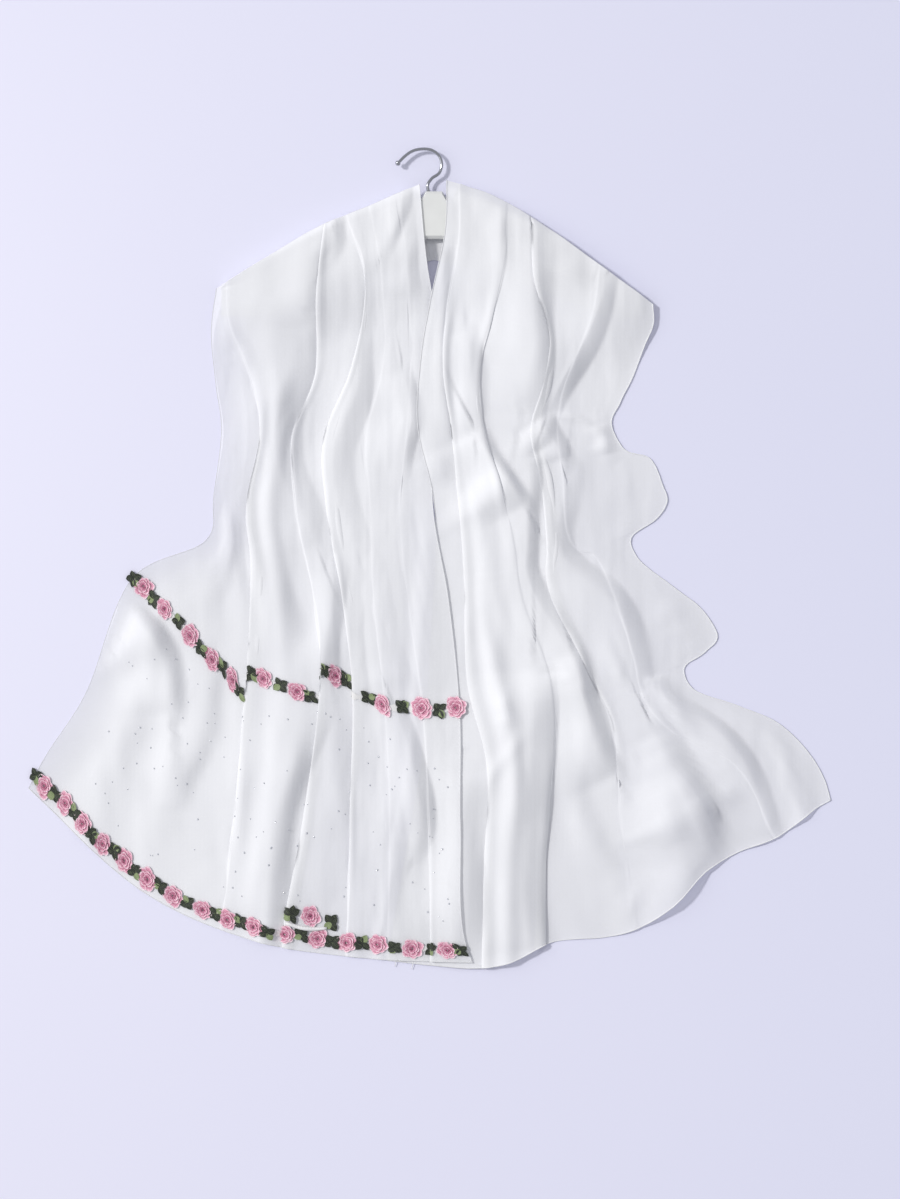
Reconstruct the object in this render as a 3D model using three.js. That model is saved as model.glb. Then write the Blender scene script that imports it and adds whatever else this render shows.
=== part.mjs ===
// Long sheer scarf (hijab) laid out flat on a clothes hanger. Millimetres, +Z up.
// The scarf is one rectangle of chiffon, 700 by 1800: it passes behind the hanger and its two
// ends hang down in front in loose tucked folds. The left end carries two rows of lace trim.
// Cloth is lofted through rows that run across each stretch: a row's plan line comes from the
// rows table, and its folds from the folds table.
import * as THREE from 'three';
import { mergeVertices } from 'three/addons/utils/BufferGeometryUtils.js';

// ---------------------------------------------------------------- sizes
const WALL = 1.2; // chiffon, stood for by one rigid wall
const TURN = 2.4; // radius where cloth turns back in a tuck
const CLEAR = 2.2; // room left under an overhanging fold
const GAP = 0.3; // between neighbouring pieces
const HANGER = {
  bottom: 1.8, thick: 12, neckHalf: 9, neckTop: 405,
  x: [0, 60, 120, 165, 190], // distance from the middle
  middle: [378, 360, 336, 316, 303], // height of the arm's middle line
  half: [23, 18, 15, 13, 10], // half the arm's depth
  bevel: 3,
};
const HOOK = { wire: 1.7, z: 7.8 };
const TRIM = { lift: 0.65, thin: 0.7, rose: 2.2, leaf: 1.1, pitch: 35, step: 6.5 };
const LIFT_OVER = 2.6; // left stretch where it crosses the right one, below the crossing
const LIFT_UNDER = 5; // right stretch where it crosses the left one, above the crossing

// Lace row that hangs unevenly from fold to fold: distance down the cloth, reach, then how far
// each run between folds hangs below the row, at its start and at its end.
const LACE_DROPS = [
  { at: 525, reach: 75, runs: [[0, 31], [5, 10], [-25, -15], [0, 3], [7, 6], [4, 0]] },
];

// Rows of the left stretch: distance down the cloth, left hem x, height at five even places
// from the left hem to the right hem, right hem x.
const LEFT_ROWS = [
  ['shoulder', 0, -239, 299, 332, 365, 388, 413, -16],
  ['chest', 80, -245, 249, 275, 290, 308, 329, -8],
  ['bust', 155, -240, 194, 204, 210, 221, 232, 7],
  ['waist', 235, -234, 139, 135, 133, 135, 139, 2],
  ['cross', 300, -242, 76, 69, 65, 67, 72, -7],
  ['spread', 410, -251, 23, -12, -34, -43, -43, 16],
  ['lace_up', 525, -331, -18, -101, -135, -152, -162, 28],
  ['between', 655, -383, -145, -213, -257, -282, -290, 29],
  ['lace_low', 785, -437, -232, -343, -398, -417, -424, 36],
  ['hem', 805, -446, -250, -361, -416, -436, -441, 42],
];
// Folds: x of the visible edge at each row; depth tucked behind it and height at four places.
const LEFT_FOLDS = [
  { name: 'left_ridge', faces: 'left', edge: [-223, -221, -200, -191, -205, -201, -206, -216, -229, -231],
    tuck: [-6, 15, 14, 13, 11], high: [5, 16, 14, 13, 10] },
  { name: 'valley_fold', faces: 'left', edge: [-120, -129, -130, -156, -151, -132, -124, -141, -165, -167],
    tuck: [3, 6, 9, 12, 12], high: [10, 10, 9, 12, 11] },
  { name: 'main_fold', faces: 'left', edge: [-92, -75, -90, -122, -119, -101, -89, -92, -92, -92],
    tuck: [4, 16, 12, 13, 12], high: [14, 19, 17, 15, 11] },
  { name: 'crown_fold', faces: 'left', edge: [-66, -53, -51, -70, -66, -62, -50, -44, -46, -46],
    tuck: [0, 3, -9, 8, 9], high: [14, 11, 6, 12, 11] },
  { name: 'inner_fold', faces: 'left', edge: [-35, -25, -21, -26, -33, -24, -9, -4, -4, -4],
    tuck: [-8, -9, -9, 8, 9], high: [7, 3, 4, 11, 10] },
];
const LEFT_SWELLS = [
  { name: 'fan_crease', x: [-230, -233, -222, -216, -224, -227, -271, -296, -337, -348], wide: 9, high: 4, from: 300 },
  { name: 'fan_rise', x: [-233, -235, -227, -222, -233, -240, -299, -334, -381, -389], wide: 10, high: 3.5, from: 400 },
  { name: 'valley_rise', x: [-180, -186, -175, -167, -178, -169, -167, -172, -189, -189], wide: 10, high: 4, from: 60 },
  { name: 'lace_rise', x: [-158, -158, -147, -158, -158, -152, -147, -163, -183, -183], wide: 9, high: 4, from: 420 },
];

// Rows of the right stretch: as above, with its outer hem in a table of its own.
const RIGHT_ROWS = [
  ['shoulder', 0, 14, 418, 398, 363, 322],
  ['chest', 65, 12, 359, 336, 304, 274],
  ['yoke', 130, -4, 285, 267, 249, 232],
  ['bust', 185, -14, 227, 216, 201, 188],
  ['waist', 250, -18, 150, 146, 144, 142],
  ['cross', 320, -1, 72, 76, 85, 98],
  ['hip', 390, 2, 1, 10, 21, 36],
  ['thigh', 455, -2, -65, -52, -34, -12],
  ['knee', 530, -7, -142, -131, -118, -98],
  ['calf', 615, -15, -230, -224, -210, -173],
  ['shin', 710, -32, -329, -331, -312, -252],
  ['hem', 805, -51, -439, -446, -402, -329],
];
// Outer hem: distance down the cloth, x, y.
const OUTER_HEM = [
  [0, 240, 282], [30, 241, 261], [65, 232, 238], [130, 218, 201], [185, 205, 175], [250, 197, 143],
  [275, 208, 124], [320, 238, 112], [360, 251, 84], [390, 256, 64], [415, 243, 45], [436, 217, 26],
  [455, 222, 6], [490, 265, -30], [515, 296, -55], [532, 311, -79], [560, 298, -100], [590, 275, -118],
  [615, 284, -140], [650, 331, -158], [710, 386, -183], [745, 409, -206], [780, 429, -240], [805, 436, -263],
];
const RIGHT_FOLDS = [
  { name: 'inner_fold', faces: 'left', edge: [32, 30, 16, 10, 18, 26, 32, 34, 37, 58, 55, 53],
    tuck: [2, 7, 8, 9, 9], high: [12, 13, 12, 12, 11] },
  { name: 'centre_fold', faces: 'right', edge: [76, 76, 63, 51, 55, 74, 85, 92, 109, 113, 101, 112],
    tuck: [4, 8, 6, 9, 11], high: [14, 13, 10, 13, 13] },
  { name: 'front_fold', faces: 'left', edge: [106, 109, 127, 120, 106, 118, 124, 125, 166, 196, 209, 227],
    tuck: [3, 10, 12, 10, 3], high: [12, 14, 14, 13, 5] },
  { name: 'shoulder_fold', faces: 'left', edge: [186, 179, 164, 147, 140, 146, 153, 189, 222, 240, 331, 377],
    tuck: [3, 6, 10, 9, 7], high: [13, 12, 13, 11, 9] },
];
const RIGHT_SWELLS = [
  { name: 'calf_rise', x: [139, 139, 139, 134, 125, 133, 141, 161, 199, 257, 299, 317], wide: 11, high: 7, from: 500 },
  { name: 'outer_rise', x: [216, 210, 196, 183, 174, 196, 213, 227, 257, 301, 375, 406], wide: 10, high: 4, from: 560 },
  { name: 'hem_rise', x: [144, 144, 155, 155, 150, 172, 183, 188, 196, 227, 249, 266], wide: 11, high: 4, from: 640 },
  { name: 'centre_rise', x: [51, 51, 40, 29, 35, 48, 57, 64, 73, 86, 79, 84], wide: 9, high: 4, from: 300 },
];

// ---------------------------------------------------------------- helpers
const smooth = (t) => {
  const s = Math.min(1, Math.max(0, t));
  return s * s * (3 - 2 * s);
};

// Smooth value through a table.
function through(at, value, t) {
  const n = at.length;
  if (t <= at[0]) return value[0];
  if (t >= at[n - 1]) return value[n - 1];
  const step = (i) => (value[i + 1] - value[i]) / (at[i + 1] - at[i]);
  const slope = (i) => {
    if (i === 0) return step(0);
    if (i === n - 1) return step(n - 2);
    const before = at[i] - at[i - 1], after = at[i + 1] - at[i];
    return (step(i - 1) * after + step(i) * before) / (before + after);
  };
  let k = 0;
  while (t > at[k + 1]) k += 1;
  const h = at[k + 1] - at[k], s = (t - at[k]) / h;
  return (1 + 2 * s) * (1 - s) ** 2 * value[k] + s * s * (3 - 2 * s) * value[k + 1]
    + h * s * (1 - s) ** 2 * slope(k) + h * s * s * (s - 1) * slope(k + 1);
}

const column = (rows, i) => rows.map((row) => row[i]);

// Distance in plan from the hanger's outline, and which side of the arm the point is on.
function offHanger(x, y) {
  const ax = Math.abs(x);
  const reach = HANGER.x[HANGER.x.length - 1];
  const middle = through(HANGER.x, HANGER.middle, ax), half = through(HANGER.x, HANGER.half, ax);
  const out = Math.hypot(Math.max(0, ax - reach), Math.max(0, Math.abs(y - middle) - half));
  return { out, above: y > middle };
}

// Height that the hanger gives the cloth lying over it.
function overHanger(x, y) {
  const { out, above } = offHanger(x, y);
  const top = HANGER.bottom + HANGER.thick + 1;
  return top * (1 - smooth((out - 6) / (above ? 20 : 50)));
}

// ---------------------------------------------------------------- the two stretches
const LEFT = {
  along: column(LEFT_ROWS, 1), keys: [0, 235, 390, 525, 805], folds: LEFT_FOLDS,
  left: { at: column(LEFT_ROWS, 1), x: column(LEFT_ROWS, 2) },
  right: { at: column(LEFT_ROWS, 1), x: column(LEFT_ROWS, 8), y: column(LEFT_ROWS, 7) },
  across: [3, 4, 5, 6].map((i) => column(LEFT_ROWS, i)),
  swells: LEFT_SWELLS, drops: LACE_DROPS,
  lift: (x, y) => LIFT_OVER * smooth((74 - y) / 24)
    * smooth((x - through(UNDER.at, UNDER.x, -y) + 22) / 12),
};
const RIGHT = {
  along: column(RIGHT_ROWS, 1), keys: [0, 250, 400, 530, 805], folds: RIGHT_FOLDS,
  left: { at: column(RIGHT_ROWS, 1), x: column(RIGHT_ROWS, 2) },
  right: { at: column(OUTER_HEM, 0), x: column(OUTER_HEM, 1), y: column(OUTER_HEM, 2) },
  across: [3, 4, 5, 6].map((i) => column(RIGHT_ROWS, i)),
  swells: RIGHT_SWELLS, drops: [],
  lift: (x, y) => LIFT_UNDER * (1 - smooth((x - 8) / 16))
    * smooth((y - 76) / 24) * (1 - smooth((y - 335) / 20)),
};
// Left hem of the right stretch against how far down it lies.
const UNDER = {
  at: column(RIGHT_ROWS, 3).map((y) => -y), x: column(RIGHT_ROWS, 2),
};

Object.assign(LEFT, {
  firstRun: 8, run: 4, lastRun: 5,
  steps: [0, 12, 26, 42, 62, 88, 118, 155, 195, 235, 268, 300, 328, 360, 410, 468, 510, 525, 539, 590, 655, 715, 768, 785, 801, 805],
});
Object.assign(RIGHT, {
  firstRun: 3, run: 4, lastRun: 8,
  steps: [0, 12, 26, 42, 62, 88, 130, 165, 205, 235, 255, 280, 320, 355, 385, 412, 434, 458, 490, 525, 560, 595, 640, 690,
    750, 805],
});

function swell(S, x, v) {
  return S.swells.reduce((sum, w) => {
    const d = (x - through(S.along, w.x, v)) / w.wide;
    return sum + w.high * Math.exp(-d * d) * smooth((v - w.from) / 60);
  }, 0);
}

// How far a run between folds hangs below its row, at its start and at its end.
function dropped(S, index, v) {
  const share = (d) => Math.exp(-(((v - d.at) / d.reach) ** 2));
  return [0, 1].map((end) => S.drops.reduce((sum, d) => sum + d.runs[index][end] * share(d), 0));
}

// One row's section: points across the cloth, from the left hem to the right hem.
function section(S, v) {
  const points = [];
  const add = (x, z, shown, drop) => points.push({ x, z, shown, drop });
  const left = through(S.left.at, S.left.x, v), right = through(S.right.at, S.right.x, v);
  const run = (from, to, count, index) => {
    const [begins, ends] = dropped(S, index, v);
    const clearTo = Math.max(to.clear, from.clear + 2);
    const first = from.high ? 1 : 0, last = to.high ? 1 : 0;
    for (let i = 0; i < count; i += 1) {
      const u = (i + first) / (count - 1 + first + last);
      const x = from.clear + (clearTo - from.clear) * u;
      // a ridge stays high over its own tuck, then falls
      const share = from.high === to.high ? u : from.high ? u ** 1.3 : 1 - (1 - u) ** 1.3;
      add(x, from.z + (to.z - from.z) * smooth(share) + swell(S, x, v) * Math.sin(Math.PI * u), true,
        begins + (ends - begins) * u ** (index === 0 ? 4 : 1));
    }
  };
  let from = { x: left, z: 0, clear: left, high: false };
  S.folds.forEach((fold, index) => {
    const edge = through(S.along, fold.edge, v);
    const tuck = through(S.keys, fold.tuck, v), high = through(S.keys, fold.high, v);
    const r = Math.min(TURN, high / 4), side = fold.faces === 'left' ? 1 : -1;
    const turned = smooth((tuck + 6) / 8);
    const inner = edge + side * tuck;
    const tucked = [
      [inner, 0], [inner + side * r, r], [inner, 2 * r],
      [edge, high - 2 * r], [edge - side * r, high - r], [edge, high],
    ];
    const ramp = [0, 0.06, 0.25, 0.75, 0.94, 1].map((s, i) => [inner + (edge - inner) * (i / 5), high * s]);
    const shape = tucked.map(([x, z], i) => ({
      x: x * turned + ramp[i][0] * (1 - turned), z: z * turned + ramp[i][1] * (1 - turned),
      shown: i > 3 || turned < 0.5,
    }));
    const low = { x: inner, z: 0, clear: edge - side * (r + CLEAR), high: false };
    const crest = { x: edge, z: high, clear: edge, high: true };
    low.clear = low.clear * turned + (inner - 4 * side) * (1 - turned);
    run(from, side > 0 ? low : crest, index === 0 ? S.firstRun : S.run, index);
    const before = dropped(S, index, v)[1], after = dropped(S, index + 1, v)[0];
    (side > 0 ? shape : shape.reverse()).forEach((p, i) => {
      add(p.x, p.z, p.shown, before + (after - before) * (i / 5));
    });
    from = side > 0 ? crest : low;
  });
  run(from, { x: right, z: 0, clear: right, high: false }, S.lastRun, S.folds.length);
  return points;
}

// Middle of the wall at each point of a row.
function row(S, v) {
  const left = through(S.left.at, S.left.x, v), right = through(S.right.at, S.right.x, v);
  const heights = [...S.across.map((y) => through(S.along, y, v)), through(S.right.at, S.right.y, v)];
  return section(S, v).map(({ x, z, shown, drop }) => {
    const y = through([0, 0.25, 0.5, 0.75, 1], heights, (x - left) / (right - left)) - drop;
    return { p: new THREE.Vector3(x, y, WALL / 2 + overHanger(x, y) + S.lift(x, y) + z), shown };
  });
}

// Outward normals of a grid of points.
function normals(grid) {
  const at = (i, j) => grid[Math.min(grid.length - 1, Math.max(0, i))][Math.min(grid[0].length - 1, Math.max(0, j))];
  return grid.map((line, i) => line.map((_, j) => {
    const along = at(i + 1, j).clone().sub(at(i - 1, j));
    const before = at(i, j).clone().sub(at(i, j - 1)), after = at(i, j + 1).clone().sub(at(i, j));
    const across = before.lengthSq() < 1e-9 ? after : after.lengthSq() < 1e-9 ? before
      : before.normalize().add(after.normalize());
    return along.cross(across).normalize();
  }));
}

// Closed sheet between a lower and an upper grid of points.
function closedSheet(lower, upper) {
  const rows = lower.length, cols = lower[0].length;
  const position = [], index = [];
  [lower, upper].forEach((grid) => grid.forEach((line) => line.forEach((p) => position.push(p.x, p.y, p.z))));
  const id = (side, i, j) => side * rows * cols + i * cols + j;
  const quad = (a, b, c, d) => index.push(a, b, c, a, c, d);
  for (let i = 0; i + 1 < rows; i += 1) {
    for (let j = 0; j + 1 < cols; j += 1) {
      quad(id(1, i, j), id(1, i + 1, j), id(1, i + 1, j + 1), id(1, i, j + 1));
      quad(id(0, i, j), id(0, i, j + 1), id(0, i + 1, j + 1), id(0, i + 1, j));
    }
  }
  for (let j = 0; j + 1 < cols; j += 1) {
    quad(id(1, 0, j), id(1, 0, j + 1), id(0, 0, j + 1), id(0, 0, j));
    quad(id(1, rows - 1, j + 1), id(1, rows - 1, j), id(0, rows - 1, j), id(0, rows - 1, j + 1));
  }
  for (let i = 0; i + 1 < rows; i += 1) {
    quad(id(1, i + 1, 0), id(1, i, 0), id(0, i, 0), id(0, i + 1, 0));
    quad(id(1, i, cols - 1), id(1, i + 1, cols - 1), id(0, i + 1, cols - 1), id(0, i, cols - 1));
  }
  const geometry = new THREE.BufferGeometry();
  geometry.setAttribute('position', new THREE.Float32BufferAttribute(position, 3));
  geometry.setIndex(index);
  return geometry;
}

function stretch(S) {
  const grid = S.steps.map((v) => row(S, v).map((c) => c.p));
  const out = normals(grid);
  const shifted = (d) => grid.map((line, i) => line.map((p, j) => {
    const q = p.clone().addScaledVector(out[i][j], d);
    q.z = Math.max(0, q.z);
    return q;
  }));
  return closedSheet(shifted(-WALL / 2), shifted(WALL / 2));
}

// Lace strip sewn on the left stretch: roses and leaf groups alternate along it.
function laceStrip(centre, up, down) {
  const lines = [centre - up, centre, centre + down];
  const base = lines.map((v) => row(LEFT, v));
  const grid = base.map((line) => line.map((c) => c.p));
  const out = normals(grid);
  const stops = []; // places along the strip: column, share of the way to the next, length so far
  let length = 0;
  for (let j = 0; j + 1 < grid[1].length; j += 1) {
    const span = grid[1][j].distanceTo(grid[1][j + 1]);
    const shown = base[1][j].shown && base[1][j + 1].shown;
    const parts = shown ? Math.max(1, Math.ceil(span / TRIM.step)) : 1;
    for (let k = 0; k < parts; k += 1) stops.push({ j, t: k / parts, s: length + (span * k) / parts, shown });
    length += span;
  }
  stops.push({ j: grid[1].length - 2, t: 1, s: length, shown: true });
  const acrossShares = [-1, -0.45, 0.45, 1];
  const cell = (lineA, lineB, share, stop) => {
    const mix = (g) => g[lineA][stop.j].clone().lerp(g[lineA][stop.j + 1], stop.t)
      .lerp(g[lineB][stop.j].clone().lerp(g[lineB][stop.j + 1], stop.t), share);
    return { p: mix(grid), n: mix(out).normalize() };
  };
  const raised = (share, stop) => {
    const phase = (2 * Math.PI * stop.s) / TRIM.pitch;
    const rose = 0.5 + 0.5 * Math.cos(phase);
    const crown = stop.shown && Math.abs(share) < 1 ? TRIM.leaf + (TRIM.rose - TRIM.leaf) * rose : 0;
    return TRIM.thin + crown;
  };
  const build = (height) => acrossShares.map((share) => stops.map((stop) => {
    const rose = 0.5 + 0.5 * Math.cos((2 * Math.PI * stop.s) / TRIM.pitch);
    const reach = Math.abs(share) < 1 ? share : share * (0.74 + 0.22 * rose);
    const { p, n } = reach < 0 ? cell(1, 0, -reach, stop) : cell(1, 2, reach, stop);
    return p.addScaledVector(n, WALL / 2 + TRIM.lift + (height ? raised(share, stop) : 0));
  }));
  return closedSheet(build(false), build(true));
}

// ---------------------------------------------------------------- back stretch and hanger
// Band of cloth lying flat under the hanger.
function backBand() {
  const places = Array.from({ length: 25 }, (_, i) => -198 + 16.5 * i);
  const level = (z) => [1, 0.5, 0].map((share) => places.map((x) => {
    const middle = through(HANGER.x, HANGER.middle, Math.abs(x));
    const half = through(HANGER.x, HANGER.half, Math.abs(x));
    const low = middle - half - 13, high = middle + half + 4;
    return new THREE.Vector3(x, low + (high - low) * share, z);
  }));
  return closedSheet(level(0), level(WALL));
}

// Hanger arms and neck plate: one outline, with its rims bevelled.
function hangerBody() {
  const places = [-190, -165, -140, -110, -80, -50, -30, -15, -9, 9, 15, 30, 50, 80, 110, 140, 165, 190];
  const edge = (x, side) => through(HANGER.x, HANGER.middle, Math.abs(x))
    + side * through(HANGER.x, HANGER.half, Math.abs(x));
  const top = (x) => (Math.abs(x) <= HANGER.neckHalf ? HANGER.neckTop : edge(x, 1));
  const levels = [[0, HANGER.bevel], [HANGER.bevel, 0], [HANGER.thick - HANGER.bevel, 0], [HANGER.thick, HANGER.bevel]];
  const lines = levels.map(([z, inset]) => {
    const ring = [];
    const pull = (x) => x * (1 - inset / 190);
    places.forEach((x) => ring.push(new THREE.Vector3(pull(x), edge(x, -1) + inset, HANGER.bottom + z)));
    [...places].reverse().forEach((x) => ring.push(new THREE.Vector3(pull(x), top(x) - inset, HANGER.bottom + z)));
    return ring;
  });
  return loft(lines);
}

// Closed body through rings of points, capped at both ends.
function loft(rings) {
  const n = rings[0].length;
  const position = rings.flatMap((ring) => ring.flatMap((p) => [p.x, p.y, p.z]));
  const index = [];
  for (let k = 0; k + 1 < rings.length; k += 1) {
    for (let i = 0; i < n; i += 1) {
      const a = k * n + i, b = k * n + ((i + 1) % n);
      index.push(a, b, b + n, a, b + n, a + n);
    }
  }
  const flat = rings[0].map((p) => new THREE.Vector2(p.x, p.y));
  THREE.ShapeUtils.triangulateShape(flat, []).forEach(([a, b, c]) => {
    const up = new THREE.Vector2().subVectors(flat[b], flat[a]).cross(new THREE.Vector2().subVectors(flat[c], flat[a])) > 0;
    const [p, q, r] = up ? [a, b, c] : [a, c, b];
    const last = (rings.length - 1) * n;
    index.push(p, r, q, p + last, q + last, r + last);
  });
  const geometry = new THREE.BufferGeometry();
  geometry.setAttribute('position', new THREE.Float32BufferAttribute(position, 3));
  geometry.setIndex(index);
  return geometry;
}

// Hook: wire bent as a question mark, with a round tip.
const HOOK_LINE = [
  // x, y from the neck's top up the stem and round to the tip
  [-6, HANGER.neckTop + GAP], [-7, 412], [-3, 419], [6, 426], [8.5, 435], [6, 444], [-2, 450.5],
  [-13, 452], [-24, 449.5], [-32, 444], [-38, 438],
];
function hook() {
  const curve = new THREE.CatmullRomCurve3(HOOK_LINE.map(([x, y]) => new THREE.Vector3(x, y, HOOK.z)));
  const steps = 30, sides = 10;
  const rings = [];
  const ring = (p, t, radius) => {
    const side = new THREE.Vector3(-t.y, t.x, 0);
    rings.push(Array.from({ length: sides }, (_, i) => {
      const a = (2 * Math.PI * i) / sides;
      return p.clone().addScaledVector(side, radius * Math.cos(a)).add(new THREE.Vector3(0, 0, radius * Math.sin(a)));
    }));
  };
  for (let i = 0; i <= steps; i += 1) {
    const t = i / steps;
    ring(curve.getPointAt(t), i === 0 ? new THREE.Vector3(0, 1, 0) : curve.getTangentAt(t), HOOK.wire);
  }
  const end = curve.getPointAt(1), way = curve.getTangentAt(1);
  [[0.5, 2.4], [1.6, 3], [2.8, 3], [4, 2.4], [4.9, 1.3]].forEach(([d, r]) =>
    ring(end.clone().addScaledVector(way, d), way, r));
  return sweepCaps(rings);
}

// Closed body through rings that may face any way, closed with a fan at each end.
function sweepCaps(rings) {
  const n = rings[0].length, last = (rings.length - 1) * n;
  const position = rings.flatMap((ring) => ring.flatMap((p) => [p.x, p.y, p.z]));
  const index = [];
  for (let k = 0; k + 1 < rings.length; k += 1) {
    for (let i = 0; i < n; i += 1) {
      const a = k * n + i, b = k * n + ((i + 1) % n);
      index.push(a, b, b + n, a, b + n, a + n);
    }
  }
  for (let i = 1; i + 1 < n; i += 1) index.push(0, i + 1, i, last, last + i, last + i + 1);
  const geometry = new THREE.BufferGeometry();
  geometry.setAttribute('position', new THREE.Float32BufferAttribute(position, 3));
  geometry.setIndex(index);
  return geometry;
}

// ---------------------------------------------------------------- assembly
const chiffon = { color: 0xf0f2f4, roughness: 0.85, metalness: 0 };
const lace = { color: 0xd9a9b0, roughness: 0.8, metalness: 0 };
const PIECES = [
  ['back_stretch', backBand, chiffon],
  ['left_stretch', () => stretch(LEFT), chiffon],
  ['right_stretch', () => stretch(RIGHT), chiffon],
  ['upper_trim', () => laceStrip(525, 15, 14), lace],
  ['lower_trim', () => laceStrip(785, 17, 16), lace],
  ['hanger_body', hangerBody, { color: 0xf4f4f2, roughness: 0.45, metalness: 0 }],
  ['hanger_hook', hook, { color: 0xd0d2d4, roughness: 0.2, metalness: 1 }],
];
const scarf = new THREE.Group();
PIECES.forEach(([name, make, look]) => {
  const geometry = mergeVertices(make(), 1e-4);
  geometry.computeVertexNormals();
  const mesh = new THREE.Mesh(geometry, new THREE.MeshStandardMaterial(look));
  mesh.name = name;
  scarf.add(mesh);
});
const box = new THREE.Box3().setFromObject(scarf), middle = box.getCenter(new THREE.Vector3());
scarf.position.set(-middle.x, -middle.y, -box.min.z);

export default scarf;
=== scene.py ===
"""Long sheer chiffon scarf on a hanger, laid flat: looks, light and camera.

The cloth is lofted through the same rows and folds as the solids, in millimetres as drawn. It is
then given finer relief: ridges, creases and puckers. Rolled hems, lace roses and
leaves and sewn stones are built on it, and the hook is a bent wire.
"""
import math
import random

import bpy
import numpy as np
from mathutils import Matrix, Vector, noise


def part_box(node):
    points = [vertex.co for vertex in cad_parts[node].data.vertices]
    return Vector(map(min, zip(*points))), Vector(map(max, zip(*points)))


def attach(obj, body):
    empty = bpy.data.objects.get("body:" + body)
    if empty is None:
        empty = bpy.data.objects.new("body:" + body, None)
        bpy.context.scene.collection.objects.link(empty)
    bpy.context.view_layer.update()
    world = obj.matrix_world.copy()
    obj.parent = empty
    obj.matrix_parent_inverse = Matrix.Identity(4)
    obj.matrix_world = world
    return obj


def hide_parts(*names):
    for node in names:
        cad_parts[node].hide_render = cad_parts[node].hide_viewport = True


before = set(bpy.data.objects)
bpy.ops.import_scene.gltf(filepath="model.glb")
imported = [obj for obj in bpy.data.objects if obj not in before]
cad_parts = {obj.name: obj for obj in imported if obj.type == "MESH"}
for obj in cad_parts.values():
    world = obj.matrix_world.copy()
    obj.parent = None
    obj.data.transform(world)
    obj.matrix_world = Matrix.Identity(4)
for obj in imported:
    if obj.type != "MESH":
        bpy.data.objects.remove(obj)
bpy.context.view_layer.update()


# ------------------------ sizes, mm as drawn
LENGTH = 805  # of each hanging end, from shoulder to hem
WALL = 1.2  # thickness of the solids' cloth
TURN = 1.0  # largest radius of a fold's turn
CLEAR = 2.2  # from the turn to the cloth beside it
LEAST = 0.45  # lowest place of the two ends, before relief
LACE_LEAST = 0.3  # lowest place of the lace
SOFT_TOP, SOFT_OVER = 30, 9  # folds that are higher than SOFT_TOP flatten out by SOFT_TOP + SOFT_OVER
HEM_SHARE, HEM_REACH = 0.35, 30  # share of the relief left at the outer hem, and how far in it grows

# The two ends cross. Up to y LEFT_OVER_TO the left one lies over the right one's inner hem, and
# between the two other values the right one lies over the left one.
LIFT_LEFT = 2.1
LEFT_OVER_TO = 74
LIFT_RIGHT = 5
RIGHT_OVER_FROM, RIGHT_OVER_TO = 76, 335

# The hanger: top of its neck, height of the cloth over it, and the middle line and half width of
# an arm by distance from the neck.
NECK_TOP = 405
HANGER_TOP = 14.8
ARM_X = [0, 60, 120, 165, 190]
ARM_MIDDLE = [378, 360, 336, 316, 303]
ARM_HALF = [23, 18, 15, 13, 10]
# The cloth stays up for FLAT past an arm and comes down over FALL, or sooner on the upper side,
# which counts as far out as ABOVE_TO.
FLAT, FLAT_ABOVE = 6, 10
FALL, FALL_ABOVE = 85, 24
ABOVE_TO = 205
BACK_END = 234  # half width of the stretch behind the hanger
BACK_LOW = 0.8  # height of that stretch over the floor

# The lace rows and the stones: distance down of each row, number of stones and where they lie.
UPPER_LACE = 525
LOWER_LACE = 789
STONES = 130
STONES_FROM, STONES_TO = 556, 768
# Lace rows pulled down or up from fold to fold: distance down, reach, then start and end of each run.
LACE_DROPS = [
    (UPPER_LACE, 75, [(0, 31), (5, 10), (-25, -15), (0, 3), (7, 6), (4, 0)]),
]
# The roll in the lower lace: its row, rose, leaves (x and how far down) and ends; then thread ends.
LOOP_ROW = 766
LOOP_ROSE = -136
LOOP_LEAVES = [(-157, -1), (-113, 3)]
LOOP_ROLL = (-161, -117)
THREADS = [(-43, -433), (-23, -436)]
# How far the plain hem hangs below its row, from HEM_START down the cloth on: x and distance.
HEM_START = 680
HEM_BULGE = [
    (40, 0), (85, -3), (130, -11), (165, 0), (195, 12), (240, 20), (271, 16), (305, 1), (345, 4),
    (376, 9), (420, 0),
]
WIRE = 1.7  # radius of the hook's wire
WIRE_Z = 7.8

# From the drawing to the row's frame, in metres.
hanger_low, hanger_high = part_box("hanger_body")
SHIFT_X = (hanger_low[0] + hanger_high[0]) / 2
SHIFT_Y = hanger_high[1] - NECK_TOP / 1000

# Light and camera, in metres unless said.
FLOOR_Z, FLOOR_HALF = -0.0004, 20
SUN_FROM = Vector((-0.66, 0.25, 0.71))
GLOW_AT = Vector((-1.5, 0.3, 1.0))
CAMERA_X, CAMERA_Y = 17.6, -42.35  # mm as drawn
CAMERA_Z = 3.0
VIEW_HEIGHT = 1.319  # of the floor that fills the picture from foot to top
SENSOR = 32  # mm


# ------------------------ tables
# Rows: name, distance down the cloth, left hem x, y at five even places from the left hem to the
# right one, right hem x.
LEFT_ROWS = [
    ("shoulder", 0, -239, 299, 332, 365, 388, 413, -16),
    ("chest", 80, -245, 249, 275, 290, 308, 329, -8),
    ("bust", 155, -240, 194, 204, 210, 221, 232, 7),
    ("waist", 235, -234, 139, 135, 133, 135, 139, 2),
    ("cross", 300, -242, 76, 69, 65, 67, 72, -2),
    ("spread", 410, -251, 23, -12, -34, -43, -43, 16),
    ("lace_up", 525, -331, -18, -101, -135, -152, -162, 28),
    ("between", 655, -383, -145, -213, -257, -282, -290, 29),
    ("lace_low", 785, -437, -232, -343, -398, -417, -424, 36),
    ("hem", 805, -446, -250, -361, -416, -436, -441, 42),
]
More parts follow.
